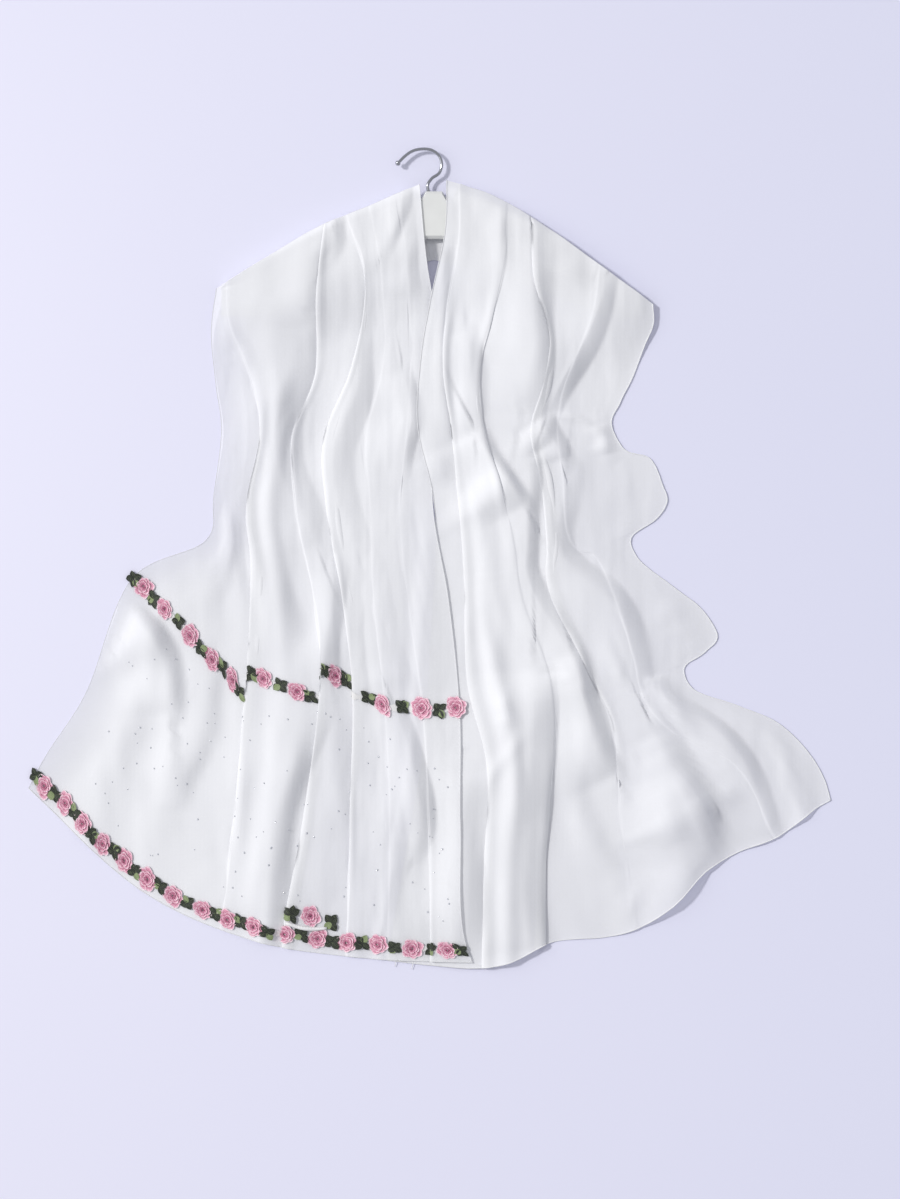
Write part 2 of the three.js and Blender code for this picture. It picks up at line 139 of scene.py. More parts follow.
# Folds: name, side that the edge faces, its x at each row, tucked depth and height at five
# distances down.
LEFT_FOLDS = [
    ("left_ridge", "left", [-223, -221, -200, -191, -205, -201, -206, -216, -229, -231],
     [-9, 2, 13, 8, -8], [0.8, 0.9, 1.1, 1.5, 1.2]),
    ("valley_fold", "left", [-120, -129, -130, -156, -151, -132, -124, -141, -165, -167],
     [3, 0, -6, 4, 12], [0.9, 1.1, 1.3, 2, 2.4]),
    ("main_fold", "left", [-92, -75, -90, -122, -119, -101, -89, -92, -92, -92],
     [-8, 14, 12, 10, -9], [0.9, 1.8, 2.5, 3, 2]),
    ("crown_fold", "left", [-66, -53, -51, -70, -66, -62, -50, -44, -46, -46],
     [-9, -9, -9, -9, -9], [0.6, 0.6, 0.6, 0.8, 0.8]),
    ("inner_fold", "left", [-35, -25, -21, -26, -33, -24, -9, -4, -4, -4],
     [-9, -9, -9, -7, 2], [0.5, 0.5, 0.6, 1.2, 2]),
]
# Swells: name, x at each row, width, height, distance down where it starts.
LEFT_SWELLS = [
    ("fan_crease", [-230, -233, -222, -216, -224, -227, -271, -296, -337, -348], 9, 4, 300),
    ("fan_rise", [-233, -235, -227, -222, -233, -240, -299, -334, -381, -389], 10, 3.5, 400),
    ("valley_rise", [-180, -186, -175, -167, -178, -169, -167, -172, -189, -189], 10, 4, 60),
    ("lace_rise", [-158, -158, -147, -158, -158, -152, -147, -163, -183, -183], 9, 4, 420),
]
# The same with y at the first four places. The fifth and the right hem x are in OUTER_HEM.
RIGHT_ROWS = [
    ("shoulder", 0, 14, 418, 398, 363, 322),
    ("chest", 65, 12, 359, 336, 304, 274),
    ("yoke", 130, -4, 285, 267, 249, 232),
    ("bust", 185, -14, 227, 216, 201, 188),
    ("waist", 250, -18, 150, 146, 144, 142),
    ("cross", 320, -1, 72, 76, 85, 98),
    ("hip", 390, 2, 1, 10, 21, 36),
    ("thigh", 455, -2, -65, -52, -34, -12),
    ("knee", 530, -7, -142, -131, -118, -98),
    ("calf", 615, -15, -230, -224, -210, -173),
    ("shin", 710, -32, -329, -331, -312, -252),
    ("hem", 805, -51, -439, -446, -402, -329),
]
OUTER_HEM = [  # distance down, x, y
    (0, 240, 282), (30, 241, 261), (65, 232, 238), (130, 218, 201), (185, 205, 175), (250, 197, 143),
    (275, 208, 124), (320, 238, 112), (360, 251, 84), (390, 256, 64), (415, 243, 45), (436, 217, 26),
    (455, 222, 6), (490, 265, -30), (515, 296, -55), (532, 311, -79), (560, 298, -100),
    (590, 275, -118), (615, 284, -140), (650, 331, -158), (710, 386, -183), (745, 409, -206),
    (780, 429, -240), (805, 436, -263),
]
RIGHT_FOLDS = [
    ("inner_fold", "left", [32, 30, 16, 10, 18, 26, 32, 34, 37, 58, 55, 53],
     [-9, 4, 9, 9, 9], [0.8, 1.2, 1.6, 1.8, 1.8]),
    ("centre_fold", "right", [76, 76, 63, 51, 55, 74, 85, 92, 122, 130, 123, 122],
     [-9, 4, -8, -8, 12], [0.8, 1.5, 1.2, 1.5, 3]),
    ("front_fold", "left", [106, 109, 127, 120, 106, 118, 124, 125, 166, 196, 209, 227],
     [3, 10, 12, 5, -9], [1, 1.8, 2.6, 1.3, 0.05]),
    ("shoulder_fold", "left", [186, 179, 164, 147, 140, 146, 153, 189, 222, 240, 331, 377],
     [-9, -9, -9, -9, -4], [1, 1.2, 1.2, 1.5, 1.2]),
]
RIGHT_SWELLS = [
    ("calf_rise", [139, 139, 139, 134, 125, 133, 141, 161, 199, 257, 299, 317], 11, 7, 500),
    ("outer_rise", [216, 210, 196, 183, 174, 196, 213, 227, 257, 301, 375, 406], 10, 4, 560),
    ("hem_rise", [144, 144, 155, 155, 150, 172, 183, 188, 196, 227, 249, 266], 11, 4, 640),
    ("centre_rise", [51, 51, 40, 29, 35, 48, 57, 64, 73, 86, 79, 84], 9, 4, 300),
]
# Height from the foot to the crest of a fold that isn't tucked, as shares.
RAMP = (0, 0.06, 0.25, 0.75, 0.94, 1)
# Ridges: name, height, half width of the gentle and of the steep side, then x, y along it.
RIDGES = [
    ("shoulder_roll", 5.1, 32, 13,
     [(-117, 355), (-129, 336), (-134, 311), (-135, 285), (-134, 258)]),
    ("shoulder_top", 4.5, 21, 10, [(-86, 391), (-99, 385), (-109, 369), (-108, 350), (-116, 329)]),
    ("valley_bank", 11.4, 48, 26,
     [(-145, 252), (-151, 232), (-162, 205), (-170, 182), (-175, 150), (-172, 111),
      (-161, 81), (-146, 56), (-130, 18)]),
    ("ridge_side", 2.5, 19, 11, [(-175, 193), (-185, 172), (-188, 144), (-189, 120)]),
    ("outer_crease", 2.5, 15, 9, [(-231, 270), (-218, 245), (-207, 230), (-204, 208)]),
    ("strip", 2.5, 13, 13,
     [(-210, 91), (-218, 62), (-221, 23), (-218, -10), (-210, -43), (-207, -76), (-216, -107)]),
    ("grey_bank", 5.7, 15, 30, [(-199, 18), (-189, -10), (-182, -43), (-183, -76), (-191, -106)]),
    ("main_crest", 6.3, 18, 20,
     [(-87, 254), (-84, 221), (-84, 194), (-90, 172), (-100, 150), (-111, 122),
      (-110, 89), (-101, 56), (-88, 18)]),
    ("inner_bank", 5.7, 24, 11, [(-33, 208), (-28, 183), (-25, 155), (-31, 128), (-34, 98)]),
    ("column_left", 2.6, 34, 33, [(-75, 89), (-66, 23), (-63, -43), (-59, -98), (-51, -144)]),
    ("neck_edge", 3.8, 14, 9, [(-32, 413), (-36, 386), (-44, 361), (-55, 338)]),
    ("neck_patch", 3.8, 29, 15, [(-35, 353), (-30, 320), (-29, 289)]),
    ("gusset", 8.7, 19, 16, [(-111, -12), (-113, -54), (-118, -87), (-122, -114), (-119, -142)]),
    ("trim_hollow", 2.5, 24, 16, [(-48, -98), (-40, -125), (-35, -146)]),
    ("fan_crescent", 16, 44, 15,
     [(-337, -56), (-322, -66), (-308, -84), (-297, -106), (-290, -135), (-287, -166)]),
    ("fan_fold", 6.6, 24, 15,
     [(-244, -111), (-251, -153), (-254, -180), (-262, -208), (-274, -235), (-280, -261)]),
    ("fan_column", 2.2, 24, 20, [(-202, -153), (-207, -197), (-210, -252), (-213, -312)]),
    ("fan_rise", 2, 34, 33, [(-337, -142), (-348, -191), (-356, -241)]),
    ("main_low", 11, 35, 22,
     [(-130, -153), (-142, -191), (-154, -224), (-165, -257), (-175, -290),
      (-179, -329), (-182, -362), (-184, -393)]),
    ("mid_low", 3.8, 21, 18,
     [(-110, -158), (-107, -197), (-106, -241), (-106, -296), (-108, -345)]),
    ("right_low", 11.8, 26, 15,
     [(-42, -166), (-29, -202), (-22, -235), (-16, -268), (-15, -296), (-22, -320)]),
    ("hem_hollow", 4.5, 21, 20, [(-61, -252), (-54, -285), (-52, -318), (-54, -356), (-56, -393)]),
    ("side_bank", 8.1, 26, 13, [(36, 252), (40, 216), (44, 183), (45, 142)]),
    ("wedge", 15, 46, 11, [(46, 142), (58, 119), (73, 100), (87, 80), (98, 61)]),
    ("shoulder_bank", 15.5, 53, 24,
     [(106, 349), (106, 315), (108, 287), (110, 260), (111, 232), (107, 208), (99, 183), (95, 161)]),
    ("front_bank", 10.6, 48, 15,
     [(98, 144), (102, 117), (106, 89), (103, 56), (102, 18), (101, -10), (110, -37),
      (125, -62), (141, -87), (153, -109), (160, -131)]),
    ("front_end", 17.5, 33, 15,
     [(153, -103), (161, -131), (166, -153), (173, -180), (183, -210), (197, -234)]),
    ("diagonal", 11.6, 40, 16,
     [(187, 307), (179, 276), (166, 245), (152, 219), (136, 190), (125, 162)]),
    ("lens", 3.5, 12, 13, [(176, 308), (150, 315), (120, 322)]),
    ("pocket", 11, 21, 15, [(114, 155), (123, 142), (133, 130), (139, 111)]),
    ("notch", 6.8, 10, 11, [(184, 151), (189, 135), (193, 118)]),
    ("fan_line", 10.6, 31, 19,
     [(145, 98), (141, 62), (136, 29), (143, 4), (164, -18), (191, -40), (209, -70),
      (217, -107), (222, -136), (240, -158)]),
    ("fan_edge", 10.4, 29, 13,
     [(238, -151), (282, -166), (312, -188), (334, -213), (350, -241), (360, -268), (371, -300)]),
    ("fan_soft", 2.6, 19, 20, [(249, -43), (271, -63), (275, -87)]),
    ("low_soft", 4.5, 19, 16, [(255, -206), (270, -235), (282, -260)]),
    ("low_ridge", 23.5, 40, 23,
     [(243, -191), (257, -221), (273, -248), (286, -270), (294, -292), (297, -314), (294, -336)]),
    ("low_cap", 4.5, 12, 15, [(337, -264), (317, -260), (297, -258)]),
    ("low_bulge", 10, 33, 22,
     [(235, -241), (252, -276), (268, -312), (275, -342), (266, -373), (243, -411)]),
    ("hem_bank", 15, 22, 24,
     [(33, -232), (30, -263), (29, -307), (29, -351), (28, -395), (26, -426)]),
    ("arch_side", 2.2, 13, 10, [(86, -195), (89, -224), (92, -252), (94, -287)]),
    ("column_bank", 16.8, 79, 26,
     [(110, -122), (110, -153), (106, -197), (101, -252), (97, -296), (96, -340),
      (99, -384), (106, -426)]),
    ("skirt_soft", 4.5, 18, 18, [(138, -199), (146, -241), (161, -279), (177, -312), (197, -349)]),
    ("hem_soft", 2.6, 13, 13, [(227, -349), (219, -373), (213, -397)]),
    ("top_line", 2.8, 9, 7, [(73, 394), (73, 359), (72, 322)]),
    ("small_wedge", 3.5, 9, 9, [(75, -148), (79, -166), (78, -182)]),
    ("top_soft", 2, 24, 23, [(-68, 388), (-75, 353), (-73, 296)]),
]
# Creases: name, height (below 0 for a dent), half width, then x, y along it.
CREASES = [
    ("fan_low", -2.4, 5, [(-315, -294), (-309, -312), (-301, -331)]),
    ("fan_short", -2.2, 4, [(-257, -327), (-244, -324), (-230, -328)]),
    ("fan_tick", -2, 4, [(-299, -276), (-285, -275), (-268, -277)]),
    ("top_hem", 3.5, 4, [(130, 160), (155, 157), (183, 144)]),
    ("short_line", -3, 4, [(117, -123), (130, -122), (145, -125)]),
    ("arch", 2.4, 7, [(100, -189), (78, -215), (64, -232), (55, -257), (53, -296)]),
    ("light_ridge", 2, 8, [(51, -54), (62, -98), (73, -142), (86, -177)]),
]
# Roses of each lace row: x of each that shows.
UPPER_ROSES = [-320, -296, -268, -244, -222, -188, -150, -109, -57, -13, 24]
LOWER_ROSES = [-428, -406, -386, -364, -341, -315, -287, -254, -227, -198, -164, -128, -96, -62, -24, 15]


# ------------------------ the cloth's shape
def smooth(t):
    """0 up to t = 0, 1 from t = 1 on, and a soft step between."""
    s = min(1.0, max(0.0, t))
    return s * s * (3 - 2 * s)


def through(at, value, t):
    """Smooth value at t, through a table of places and values."""
    if t <= at[0]:
        return value[0]
    if t >= at[-1]:
        return value[-1]
    last = len(at) - 1

    def rise(i):
        return (value[i + 1] - value[i]) / (at[i + 1] - at[i])

    def slope(i):
        if i == 0:
            return rise(0)
        if i == last:
            return rise(last - 1)
        before, after = at[i] - at[i - 1], at[i + 1] - at[i]
        return (rise(i - 1) * after + rise(i) * before) / (before + after)

    k = 0
    while t > at[k + 1]:
        k += 1
    gap = at[k + 1] - at[k]
    s = (t - at[k]) / gap
    return (
        (1 + 2 * s) * (1 - s) ** 2 * value[k]
        + s * s * (3 - 2 * s) * value[k + 1]
        + gap * s * (1 - s) ** 2 * slope(k)
        + gap * s * s * (s - 1) * slope(k + 1)
    )


def column(rows, i):
    """Column i of a table."""
    return [row[i] for row in rows]


def over_hanger(x, y):
    """Height that the hanger gives the cloth lying over it."""
    across = abs(x)
    middle, half = through(ARM_X, ARM_MIDDLE, across), through(ARM_X, ARM_HALF, across)
    out = math.hypot(max(0, across - ARM_X[-1]), max(0, abs(y - middle) - half))
    above = smooth((y - middle) / half) * smooth((ABOVE_TO - across) / 30)
    flat = FLAT + (FLAT_ABOVE - FLAT) * above
    fall = FALL + (FALL_ABOVE - FALL) * above
    return HANGER_TOP * (1 - smooth((out - flat) / fall))


# The right end's inner hem, by y turned round so that it grows downwards.
INNER_HEM_AT = [-y for y in column(RIGHT_ROWS, 3)]
INNER_HEM_X = column(RIGHT_ROWS, 2)


def left_lift(x, y):
    """How far the left end is lifted where it lies over the right one."""
    hem = through(INNER_HEM_AT, INNER_HEM_X, -y)
    return LIFT_LEFT * smooth((LEFT_OVER_TO - y) / 24) * smooth((x - hem + 22) / 12)


def right_lift(x, y):
    """How far the right end is lifted where it lies over the left one."""
    inner = 1 - smooth((x - 8) / 16)
    chest = smooth((y - RIGHT_OVER_FROM) / 24) * (1 - smooth((y - RIGHT_OVER_TO) / 20))
    return LIFT_RIGHT * inner * chest


class Stretch:
    """One hanging end, by distance v down it.

    keys are the distances of the folds' and covers' five values. right holds the distances, x and y
    of the right hem. runs are the points of the first, the middle and the last run between folds.
    cover is how opaque each run is. drops and hem pull the cloth down or up from its rows.
    """

    def __init__(self, rows, folds, swells, keys, right, lift, runs, cover, drops=(), hem=()):
        self.along = column(rows, 1)
        self.left_x = column(rows, 2)
        self.across = [column(rows, i) for i in (3, 4, 5, 6)]
        self.right_at, self.right_x, self.right_y = right
        self.folds, self.swells, self.keys, self.lift = folds, swells, keys, lift
        self.first, self.between, self.last = runs
        self.cover, self.drops = cover, drops
        self.hem_at, self.hem_drop = column(hem, 0), column(hem, 1)

    def hems(self, v):
        """Left and right hem x."""
        return through(self.along, self.left_x, v), through(self.right_at, self.right_x, v)

    def drop(self, k, v):
        """How far run k hangs below its row, at its start and end, and how it bends."""
        start = end = 0
        for at, reach, runs in self.drops:
            share = math.exp(-(((v - at) / reach) ** 2))
            start += share * runs[k][0]
            end += share * runs[k][1]
        return start, end, 4 if k == 0 else 1

    def swell(self, x, v):
        """Height of the soft swells."""
        total = 0
        for _, at, wide, high, start in self.swells:
            off = (x - through(self.along, at, v)) / wide
            total += high * math.exp(-off * off) * smooth((v - start) / 60)
        return total

    def run(self, v, start, end, count, cover, drop):
        """Points between two folds: x, z, shown, cover and drop."""
        clear_to = max(end["clear"], start["clear"] + 2)
        first, last = int(start["high"]), int(end["high"])
        points = []
        for i in range(count):
            u = (i + first) / (count - 1 + first + last)
            x = start["clear"] + (clear_to - start["clear"]) * u
            share = u
            if first != last:
                share = u**1.3 if first else 1 - (1 - u) ** 1.3
            z = start["z"] + (end["z"] - start["z"]) * smooth(share)
            z += self.swell(x, v) * math.sin(math.pi * u)
            points.append((x, z, 1.0, cover, drop[0] + (drop[1] - drop[0]) * u**drop[2]))
        return points

    def section(self, v):
        """Points across the cloth: x, z, shown, cover and drop."""
        covers = [through(self.keys, row, v) for row in self.cover]
        drops = [self.drop(k, v) for k in range(len(self.folds) + 1)]
        left, right = self.hems(v)
        points = []
        start = dict(z=0, clear=left, high=False)
        for k, (_, faces, edges, tucks, highs) in enumerate(self.folds):
            edge = through(self.along, edges, v)
            tuck, high = through(self.keys, tucks, v), through(self.keys, highs, v)
            r, side = min(TURN, high / 4), 1 if faces == "left" else -1
            turned = smooth((tuck + 6) / 8)  # from 0, a low ramp, to 1, a fold tucked under itself
            inner = edge + side * tuck
            tucked = [
                (inner, 0), (inner + side * r, r), (inner, 2 * r),
                (edge, high - 2 * r), (edge - side * r, high - r), (edge, high),
            ]
            ramp = [(inner + (edge - inner) * i / 5, high * share) for i, share in enumerate(RAMP)]
            cover = (covers[k] + covers[k + 1]) / 2
            low_drop, high_drop = (drops[k][1], drops[k + 1][0])[::side]
            shape = []
            for i, (a, b) in enumerate(zip(tucked, ramp)):
                x, z = (a[axis] * turned + b[axis] * (1 - turned) for axis in (0, 1))
                shown = 1.0 if i > 3 or turned < 0.5 else 0.0
                shape.append((x, z, shown, cover, low_drop + (high_drop - low_drop) * i / 5))
            clear = edge - side * (r + CLEAR)
            low = dict(z=0, clear=clear * turned + (inner - 4 * side) * (1 - turned), high=False)
            crest = dict(z=high, clear=edge, high=True)
            count = self.first if k == 0 else self.between
            points += self.run(v, start, low if side > 0 else crest, count, covers[k], drops[k])
            points += shape if side > 0 else shape[::-1]
            start = crest if side > 0 else low
        end = dict(z=0, clear=right, high=False)
        return points + self.run(v, start, end, self.last, covers[-1], drops[-1])

    def row(self, v):
        """Middle of the cloth: x, y, z, shown, cover."""
        left, right = self.hems(v)
        heights = [through(self.along, y, v) for y in self.across]
        heights.append(through(self.right_at, self.right_y, v))
        near_hem = smooth((v - HEM_START) / (LENGTH - HEM_START))
        out = []
        for x, z, shown, cover, drop in self.section(v):
            y = through([0, 0.25, 0.5, 0.75, 1], heights, (x - left) / (right - left)) - drop
            if self.hem_at:
                y -= through(self.hem_at, self.hem_drop, x) * near_hem
            out.append((x, y, WALL / 2 + over_hanger(x, y) + self.lift(x, y) + z, shown, cover))
        return out


LEFT = Stretch(
    LEFT_ROWS, LEFT_FOLDS, LEFT_SWELLS,
    keys=[0, 235, 390, 525, LENGTH],
    right=(column(LEFT_ROWS, 1), column(LEFT_ROWS, 8), column(LEFT_ROWS, 7)),
    lift=left_lift,
    runs=(8, 4, 5),
    cover=[
        (0.80, 0.76, 0.82, 0.90, 0.90),
        (0.88, 0.86, 0.86, 0.88, 0.88),
        (0.90, 0.88, 0.88, 0.85, 0.78),
        (0.92, 0.93, 0.93, 0.90, 0.78),
        (0.92, 0.92, 0.90, 0.80, 0.72),
        (0.90, 0.88, 0.80, 0.78, 0.76),
    ],
    drops=LACE_DROPS,
)
RIGHT = Stretch(
    RIGHT_ROWS, RIGHT_FOLDS, RIGHT_SWELLS,
    keys=[0, 250, 400, 530, LENGTH],
    right=(column(OUTER_HEM, 0), column(OUTER_HEM, 1), column(OUTER_HEM, 2)),
    lift=right_lift,
    runs=(3, 4, 8),
    cover=[
        (0.88, 0.88, 0.88, 0.88, 0.88),
        (0.90, 0.90, 0.90, 0.90, 0.86),
        (0.90, 0.88, 0.90, 0.88, 0.80),
        (0.85, 0.82, 0.80, 0.80, 0.76),
        (0.90, 0.84, 0.78, 0.76, 0.76),
    ],
    hem=HEM_BULGE,
)


# ------------------------ relief
def finer(line, parts):
    """A row of points cut into parts between each two, on a smooth curve by chord length."""
    pts = np.array(line)
    step = np.maximum(np.linalg.norm(pts[1:, :3] - pts[:-1, :3], axis=1), 1e-3)[:, None]
    way = (pts[1:] - pts[:-1]) / step
    slope = np.empty_like(pts)
    slope[0], slope[-1] = way[0], way[-1]
    slope[1:-1] = (way[:-1] * step[1:] + way[1:] * step[:-1]) / (step[:-1] + step[1:])
    out = []
    for s in np.arange(parts) / parts:
        out.append(
            (1 + 2 * s) * (1 - s) ** 2 * pts[:-1] + s * s * (3 - 2 * s) * pts[1:]
            + step * (s * (1 - s) ** 2 * slope[:-1] + s * s * (s - 1) * slope[1:])
        )
    out = np.stack(out, 1).reshape(-1, pts.shape[1])
    return np.vstack([out, pts[-1:]])


def normals(grid):
    """Unit normals of a grid of points."""
    down = np.gradient(grid, axis=0)
    side = np.gradient(grid, axis=1)
    normal = np.cross(down, side)
    return normal / np.maximum(np.linalg.norm(normal, axis=2, keepdims=True), 1e-9)


def nearest(line, x, y):
    """Distance to a line, the side (above 0 on the steep side) and the place along it, 0 to 1."""
    pts = finer([(a, b, 0.0) for a, b in line], 4)[:, :2]
    near, place, side = np.full(x.shape, 1e9), np.zeros(x.shape), np.zeros(x.shape)
    for k in range(len(pts) - 1):
        a, way = pts[k], pts[k + 1] - pts[k]
        t = np.clip(((x - a[0]) * way[0] + (y - a[1]) * way[1]) / max(way @ way, 1e-9), 0, 1)
        off_x, off_y = x - a[0] - t * way[0], y - a[1] - t * way[1]
        gap = np.hypot(off_x, off_y)
        closer = gap < near
        place = np.where(closer, (k + t) / (len(pts) - 1), place)
        side = np.where(closer, np.sign(way[0] * off_y - way[1] * off_x), side)
        near = np.minimum(near, gap)
    return near, side, place


def fade(place):
    """Height share along a ridge, which is low at both ends."""
    return np.sin(np.pi * np.clip(place * 0.94 + 0.03, 0, 1)) ** 0.6


def relief(x, y):
    """Height of the ridges and creases, which every layer there rises by.

    A ridge rises softly and rolls over on its steep side, where it ends at a crisp foot.
    """
    total = np.zeros_like(x)
    for index, (_, high, gentle, steep, line) in enumerate(RIDGES):
        near, side, place = nearest(line, x, y)
        uneven = 1 + 0.18 * np.sin(9 * place + index * 1.7)
        rise = np.exp(-((near / (gentle * uneven)) ** 2))
        roll = 1 - (near / (steep * (1.05 - 0.15 * np.sin(6 * place + index)))) ** 1.4
        fall = (roll + np.sqrt(roll * roll + 0.004)) / 2
        total += high * uneven * fade(place) * np.where(side > 0, fall, rise)
    for _, high, wide, line in CREASES:
        near, _, place = nearest(line, x, y)
        total += high * fade(place) * np.exp(-((near / wide) ** 2))
    return np.maximum(total, 0) + 0.2 * np.minimum(total, 0)


def puckers(x, y, seed):
    """Low waves that run down the cloth, and small crumples."""
    out = np.empty_like(x)
    for place in np.ndindex(x.shape):
        px, py = x[place], y[place]
        waves = noise.noise(Vector((px / 13, py / 75, seed)))
        broad = noise.noise(Vector((px / 30, py / 42, seed + 7.3)))
        crumples = noise.noise(Vector((px / 6, py / 22, seed + 3.1)))
        out[place] = 0.7 * waves + 1.4 * broad + 0.2 * crumples
    return out


class Cloth:
    """Fine grid over a stretch, in drawn millimetres. outer is the column of its outer hem."""

    def __init__(self, stretch, seed, step, outer):
        self.steps = int(round(LENGTH / step))
        rows = [finer(stretch.row(v), 4) for v in np.linspace(0, LENGTH, self.steps + 1)]
        grid = np.stack(rows)
        self.shown, self.cover = np.clip(grid[..., 3], 0, 1), grid[..., 4]
        pts = grid[..., :3]
        x, y = grid[..., 0], grid[..., 1]
        normal = normals(pts)
        lean = np.clip(normal[..., 2], 0, 1) * self.shown
        places = np.arange(pts.shape[1])
        from_edge = np.minimum(places, places[::-1])[None, :]
        small = puckers(x, y, seed) * (0.3 + 0.7 * lean)
        small *= 0.4 + 0.6 * np.clip(from_edge / 8, 0, 1)
        pts = pts + normal * small[..., None]
        out = np.hypot(x - x[:, outer][:, None], y - y[:, outer][:, None])
        share = HEM_SHARE + (1 - HEM_SHARE) * np.clip(out / HEM_REACH, 0, 1)
        high = np.maximum(pts[..., 2], LEAST) + relief(x, y) * share
        flattened = SOFT_TOP + SOFT_OVER * np.tanh((high - SOFT_TOP) / SOFT_OVER)
        pts[..., 2] = np.where(high > SOFT_TOP, flattened, high)
        self.points, self.normals = pts, normals(pts)
        self.slope = np.clip(1 / np.maximum(np.abs(self.normals[..., 2]), 0.25), 1, 4)
        if outer == 0:
            self.cover = self.cover * (0.72 + 0.28 * np.clip(out / 50, 0, 1))

    def row_at(self, v):
        """Points, normals and length so far along the row at distance v."""
        at = np.clip(v / LENGTH * self.steps, 0, self.steps - 0.001)
        i, t = int(at), at - int(at)
        points = self.points[i] * (1 - t) + self.points[i + 1] * t
        normal = self.normals[i] * (1 - t) + self.normals[i + 1] * t
        steps = np.linalg.norm(points[1:] - points[:-1], axis=1)
        length = np.concatenate([[0], np.cumsum(steps)])
        return points, normal / np.linalg.norm(normal, axis=1, keepdims=True), length


# ------------------------ Blender helpers
def framed(points):
    """Drawn millimetres to the row's frame in metres."""
    flat = np.asarray(points, float).reshape(-1, 3) / 1000
    flat[:, 0] += SHIFT_X
    flat[:, 1] += SHIFT_Y
    return flat


def new_object(name, verts, faces, material):
    """A smooth mesh with one material, in the scene."""
    mesh = bpy.data.meshes.new(name)
    mesh.from_pydata([tuple(v) for v in verts], [], faces)
    mesh.update()
    mesh.polygons.foreach_set("use_smooth", [True] * len(mesh.polygons))
    mesh.materials.append(material)
    obj = bpy.data.objects.new(name, mesh)
    bpy.context.scene.collection.objects.link(obj)
    return obj


def attribute(obj, name, values):
    """A value for each vertex, which a material reads by name."""
    layer = obj.data.attributes.new(name, "FLOAT", "POINT")
    layer.data.foreach_set("value", np.asarray(values, "f").ravel())


def grid_faces(rows, cols):
    """Faces of a grid of verts, row by row."""
    return [
        (i * cols + j, (i + 1) * cols + j, (i + 1) * cols + j + 1, i * cols + j + 1)
        for i in range(rows - 1) for j in range(cols - 1)
    ]


def tube(points, radii, sides):
    """Verts and faces of a tube along points, in drawn millimetres."""
    pts = np.asarray(points, float)
    way = np.gradient(pts, axis=0)
    way /= np.maximum(np.linalg.norm(way, axis=1, keepdims=True), 1e-9)
    side = np.cross(way, [0, 0, 1.0])
    side /= np.maximum(np.linalg.norm(side, axis=1, keepdims=True), 1e-9)
    up = np.cross(side, way)
    radii = np.broadcast_to(radii, (len(pts),))
    angle = 2 * np.pi * np.arange(sides) / sides
    round_side, round_up = np.cos(angle)[None, :, None], np.sin(angle)[None, :, None]
    rings = pts[:, None] + radii[:, None, None] * (round_side * side[:, None] + round_up * up[:, None])
    faces = []
    for i in range(len(pts) - 1):
        for j in range(sides):
            a, b = i * sides + j, i * sides + (j + 1) % sides
            faces.append((a, b, b + sides, a + sides))
    faces.append(tuple(range(sides))[::-1])
    faces.append(tuple((len(pts) - 1) * sides + k for k in range(sides)))
    return rings.reshape(-1, 3), faces


class Batch:
    """Gathers small meshes into one object, with a tone for each vertex."""

    def __init__(self):
        self.verts, self.faces, self.tones = [], [], []

    def add(self, verts, faces, tone):
        start = len(self.verts)
        self.verts.extend(map(tuple, verts))
        self.faces.extend(tuple(start + k for k in face) for face in faces)
        self.tones.extend(np.broadcast_to(tone, (len(verts),)))

    def make(self, name, material):
        obj = new_object(name, framed(self.verts), self.faces, material)
        attribute(obj, "tone", self.tones)
        return obj


# ------------------------ materials
class Nodes:
    """Short way to build a node tree."""

    def __init__(self, name):
        self.material = bpy.data.materials.new(name)
        self.material.use_nodes = True
        self.tree = self.material.node_tree
        self.shader = self.tree.nodes["Principled BSDF"]
        self.place = self.add("ShaderNodeTexCoord").outputs["Object"]

    def add(self, kind, **settings):
        """A node, with its sockets and settings by name."""
        node = self.tree.nodes.new(kind)
        for key, value in settings.items():
            if key in node.inputs:
                node.inputs[key].default_value = value
            else:
                setattr(node, key, value)
        return node

    def link(self, source, target):
        self.tree.links.new(source, target)

    def fill(self, sockets, values):
        """Link or set each socket."""
        for socket, value in zip(sockets, values):
            if isinstance(value, bpy.types.NodeSocket):
                self.link(value, socket)
            else:
                socket.default_value = value

    def math(self, operation, a, b):
        node = self.add("ShaderNodeMath", operation=operation)
        self.fill(node.inputs, (a, b))
        return node.outputs[0]

    def mix(self, factor, a, b):
        """Two colours mixed."""
        node = self.add("ShaderNodeMix", data_type="RGBA")
        self.fill((node.inputs[0], node.inputs[6], node.inputs[7]), (factor, a, b))
        return node.outputs[2]

    def texture(self, kind, **settings):
        """Factor of a texture that lies still on the object."""
        node = self.add(kind, **settings)
        self.link(self.place, node.inputs["Vector"])
        return node.outputs["Fac"]

    def shade(self, **values):
        """Set or link the shader's sockets, named with _ for a space."""
        self.fill([self.shader.inputs[name.replace("_", " ")] for name in values], values.values())

    def bump(self, height, strength, distance):
        node = self.add("ShaderNodeBump", Strength=strength, Distance=distance)
        self.link(height, node.inputs["Height"])
        self.shade(Normal=node.outputs["Normal"])


def rgb(r, g, b):
    return (r, g, b, 1.0)


def weave(n):
    """Threads both ways, about 220 to the metre, as a height from 0 to 1."""
    waves = [
        n.texture("ShaderNodeTexWave", wave_type="BANDS", bands_direction=direction,
                  Scale=70.0, Distortion=0.6)
        for direction in ("X", "Y")
    ]
    return n.math("MAXIMUM", *waves)


